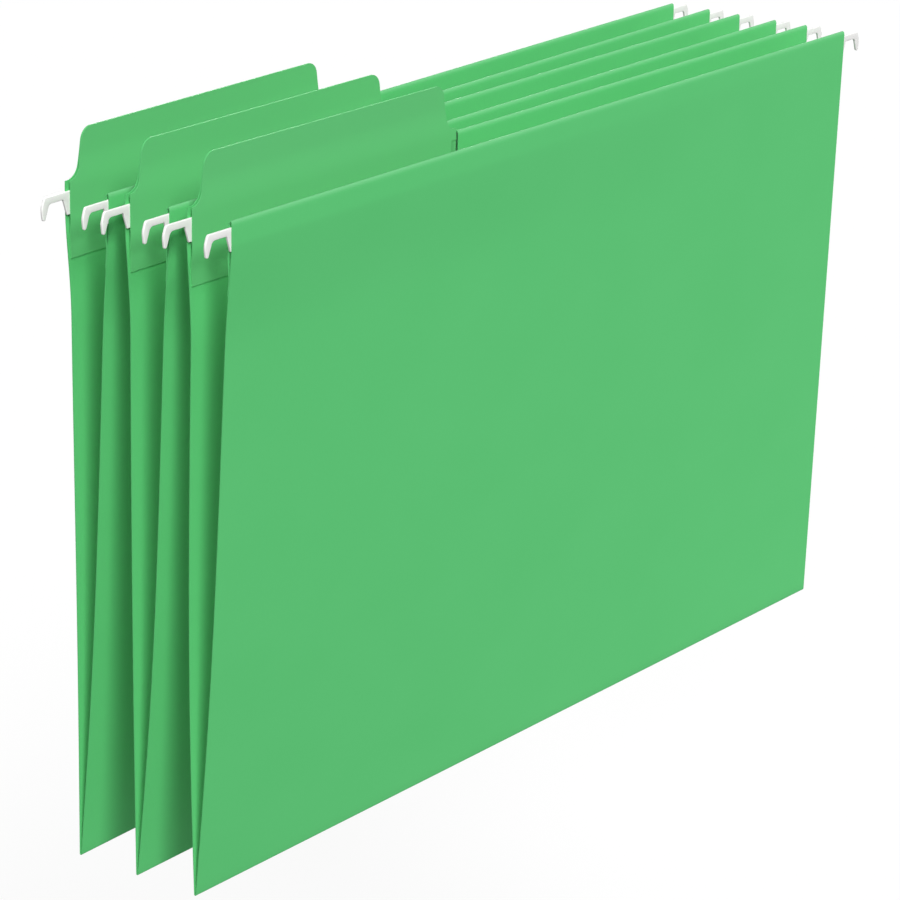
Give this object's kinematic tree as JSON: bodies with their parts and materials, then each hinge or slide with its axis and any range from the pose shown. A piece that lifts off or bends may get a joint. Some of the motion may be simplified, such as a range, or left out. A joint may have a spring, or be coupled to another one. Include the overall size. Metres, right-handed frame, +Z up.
{
  "type": "hanging file folder",
  "caption": "Row of hanging file folders: creased card leaves hemmed over flat steel rods with white coated hooks that ride on two rails, and a rounded tab on each back leaf",
  "frame": {"origin": "the middle of the middle folder's back rod, level with the undersides of its hook necks, which is where the hooks sit on the rails", "axes": "+X along the middle folder's rods with the tabs at the -X end, +Y along the rails to the rear, +Z up"},
  "size_m": [0.4002, 0.0805, 0.2525],
  "materials": {
    "green_card": "bright green 11-point card, matt",
    "rod_steel": "bare cold-rolled steel strip",
    "white_coat": "white dipped coat, slightly glossy"
  },
  "bodies": {
    "rear_back": {"rear_back_leaf": "green_card", "rear_tab_ply": "green_card", "rear_back_rod": "rod_steel", "rear_back_left_hook_coat": "white_coat", "rear_back_right_hook_coat": "white_coat"},
    "rear_front": {"rear_front_leaf": "green_card", "rear_front_rod": "rod_steel", "rear_front_left_hook_coat": "white_coat", "rear_front_right_hook_coat": "white_coat"},
    "middle_back": {"middle_back_leaf": "green_card", "middle_tab_ply": "green_card", "middle_back_rod": "rod_steel", "middle_back_left_hook_coat": "white_coat", "middle_back_right_hook_coat": "white_coat"},
    "middle_front": {"middle_front_leaf": "green_card", "middle_front_rod": "rod_steel", "middle_front_left_hook_coat": "white_coat", "middle_front_right_hook_coat": "white_coat"},
    "front_back": {"front_back_leaf": "green_card", "front_tab_ply": "green_card", "front_back_rod": "rod_steel", "front_back_left_hook_coat": "white_coat", "front_back_right_hook_coat": "white_coat"},
    "front_front": {"front_front_leaf": "green_card", "front_front_rod": "rod_steel", "front_front_left_hook_coat": "white_coat", "front_front_right_hook_coat": "white_coat"}
  },
  "joints": [
    {"name": "rear_folder_slide", "type": "slide", "parent": "middle_back", "child": "rear_back", "axis": [0, 1, 0], "range_m": [0, 0.15]},
    {"name": "rear_crease", "type": "hinge", "parent": "rear_back", "child": "rear_front", "pos_m": [0.00013, 0.0198, -0.2305], "axis": [0.9999, -0.015, 0], "range_deg": [-3.5, 1.2]},
    {"name": "middle_crease", "type": "hinge", "parent": "middle_back", "child": "middle_front", "pos_m": [0, -0.0083, -0.2305], "axis": [0.9995, -0.0304, 0], "range_deg": [-3.5, 1.2]},
    {"name": "front_folder_slide", "type": "slide", "parent": "middle_back", "child": "front_back", "axis": [0, -1, 0], "range_m": [0, 0.15]},
    {"name": "front_crease", "type": "hinge", "parent": "front_back", "child": "front_front", "pos_m": [-0.00013, -0.0364, -0.2305], "axis": [0.999, -0.0457, 0], "range_deg": [-3.5, 170]}
  ]
}
